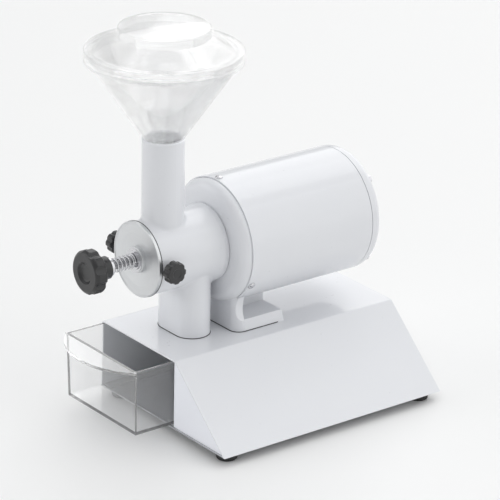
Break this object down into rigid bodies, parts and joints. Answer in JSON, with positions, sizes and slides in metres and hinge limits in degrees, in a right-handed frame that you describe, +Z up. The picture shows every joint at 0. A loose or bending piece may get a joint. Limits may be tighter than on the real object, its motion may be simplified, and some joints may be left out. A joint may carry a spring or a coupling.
{
  "type": "electric coffee grinder",
  "caption": "Electric burr coffee grinder: clear funnel hopper over an auger head bolted to a horizontal motor, on a slope-sided sheet base with a clear drawer.",
  "frame": {"origin": "middle of the machine's bounding box at the floor, with the drawer part open as pictured", "axes": "+Z up; -Y the front, where the adjusting knob and the drawer are; +X the base's sloped side"},
  "size_m": [0.2434, 0.3874, 0.442],
  "materials": {
    "white_enamel": "gloss",
    "clear_plastic": "gloss",
    "black_plastic": "gloss",
    "grey_plastic": "matte",
    "bright_steel": "polished",
    "ground_steel": "ground",
    "zinc_sheet": "satin",
    "rubber": "matte",
    "bronze": "turned",
    "copper_wire": "varnished",
    "turned_alloy": "turned",
    "cast_alloy": "cast"
  },
  "bodies": {
    "machine": {"base_cover": "white_enamel", "bottom_plate": "zinc_sheet", "drawer_bay_panel": "white_enamel", "rear_panel": "white_enamel", "foot_front_left": "rubber", "foot_front_right": "rubber", "foot_rear_left": "rubber", "foot_rear_right": "rubber", "foot_screws": "bright_steel", "drawer_runner_left": "grey_plastic", "drawer_runner_right": "grey_plastic", "gland_body": "black_plastic", "gland_nut": "black_plastic", "switch_body": "black_plastic", "terminal_block": "grey_plastic", "capacitor": "black_plastic", "capacitor_clip": "zinc_sheet", "grinder_body": "white_enamel", "cap_gasket": "rubber", "front_cap": "turned_alloy", "spring_washer": "bright_steel", "adjuster_spring": "bright_steel", "fixed_burr": "ground_steel", "burr_screws": "bright_steel", "motor_bracket": "white_enamel", "bracket_bolts": "bright_steel", "motor_shell": "white_enamel", "shell_screws": "bright_steel", "motor_rear_cap": "white_enamel", "tie_bolts": "bright_steel", "stator_core": "ground_steel", "stator_windings": "copper_wire", "front_bearing": "ground_steel", "rear_bearing": "ground_steel", "shaft_seal": "rubber", "head_bolts": "bright_steel", "motor_lead": "rubber", "lead_grommet": "rubber"},
    "drawer_tray": {"drawer": "clear_plastic"},
    "hopper_unit": {"hopper": "clear_plastic"},
    "lid": {"hopper_lid": "clear_plastic"},
    "adjuster_slide": {"spring_seat": "bright_steel", "thrust_pad": "bronze"},
    "adjuster_knob": {"adjusting_knob": "black_plastic", "adjusting_screw": "bright_steel"},
    "auger_set": {"auger": "ground_steel", "rotating_burr": "ground_steel"},
    "rotor": {"motor_shaft": "ground_steel", "rotor_core": "cast_alloy", "cooling_fan": "black_plastic", "drive_key": "ground_steel", "auger_spring": "bright_steel"},
    "clamp_slide_left": {"clamp_pad_left": "bronze"},
    "clamp_turn_left": {"clamp_knob_left": "black_plastic", "clamp_stud_left": "bright_steel"},
    "clamp_slide_right": {"clamp_pad_right": "bronze"},
    "clamp_turn_right": {"clamp_knob_right": "black_plastic", "clamp_stud_right": "bright_steel"},
    "rocker": {"switch_rocker": "black_plastic"}
  },
  "joints": [
    {"name": "drawer_slide", "type": "slide", "parent": "machine", "child": "drawer_tray", "axis": [0, -1, 0], "range_m": [-0.0485, 0.075]},
    {"name": "hopper_lift", "type": "slide", "parent": "machine", "child": "hopper_unit", "axis": [0, 0, 1], "range_m": [0, 0.06]},
    {"name": "lid_lift", "type": "slide", "parent": "hopper_unit", "child": "lid", "axis": [0, 0, 1], "range_m": [0, 0.04]},
    {"name": "adjuster_travel", "type": "slide", "parent": "machine", "child": "adjuster_slide", "axis": [0, 1, 0], "range_m": [-0.001, 0.001]},
    {"name": "adjuster_turn", "type": "hinge", "parent": "adjuster_slide", "child": "adjuster_knob", "pos_m": [-0.03625, -0.11675, 0.1855], "axis": [0, 1, 0], "range_deg": [-240.1, 240.1]},
    {"name": "auger_spin", "type": "hinge", "parent": "adjuster_slide", "child": "auger_set", "pos_m": [-0.03625, -0.11675, 0.1855], "axis": [0, 1, 0], "continuous": true},
    {"name": "motor_spin", "type": "hinge", "parent": "machine", "child": "rotor", "pos_m": [-0.03625, -0.11675, 0.1855], "axis": [0, 1, 0], "continuous": true},
    {"name": "clamp_travel_left", "type": "slide", "parent": "machine", "child": "clamp_slide_left", "axis": [-1, 0, 0], "range_m": [0, 0.00251]},
    {"name": "clamp_turn_left", "type": "hinge", "parent": "clamp_slide_left", "child": "clamp_turn_left", "pos_m": [-0.08125, -0.10775, 0.1855], "axis": [-1, 0, 0], "range_deg": [0, 720]},
    {"name": "clamp_travel_right", "type": "slide", "parent": "machine", "child": "clamp_slide_right", "axis": [1, 0, 0], "range_m": [0, 0.00251]},
    {"name": "clamp_turn_right", "type": "hinge", "parent": "clamp_slide_right", "child": "clamp_turn_right", "pos_m": [0.00875, -0.10775, 0.1855], "axis": [1, 0, 0], "range_deg": [0, 720]},
    {"name": "rocker_press", "type": "hinge", "parent": "machine", "child": "rocker", "pos_m": [-0.02225, 0.17875, 0.05], "axis": [1, 0, 0], "range_deg": [0, 16]}
  ],
  "couplings": [
    {"joint": "adjuster_turn", "follows": "adjuster_travel", "rad_per_m": 4188.8},
    {"joint": "auger_spin", "follows": "motor_spin", "ratio": 1},
    {"joint": "clamp_travel_left", "follows": "clamp_turn_left", "m_per_rad": 0.00019894},
    {"joint": "clamp_travel_right", "follows": "clamp_turn_right", "m_per_rad": 0.00019894}
  ]
}
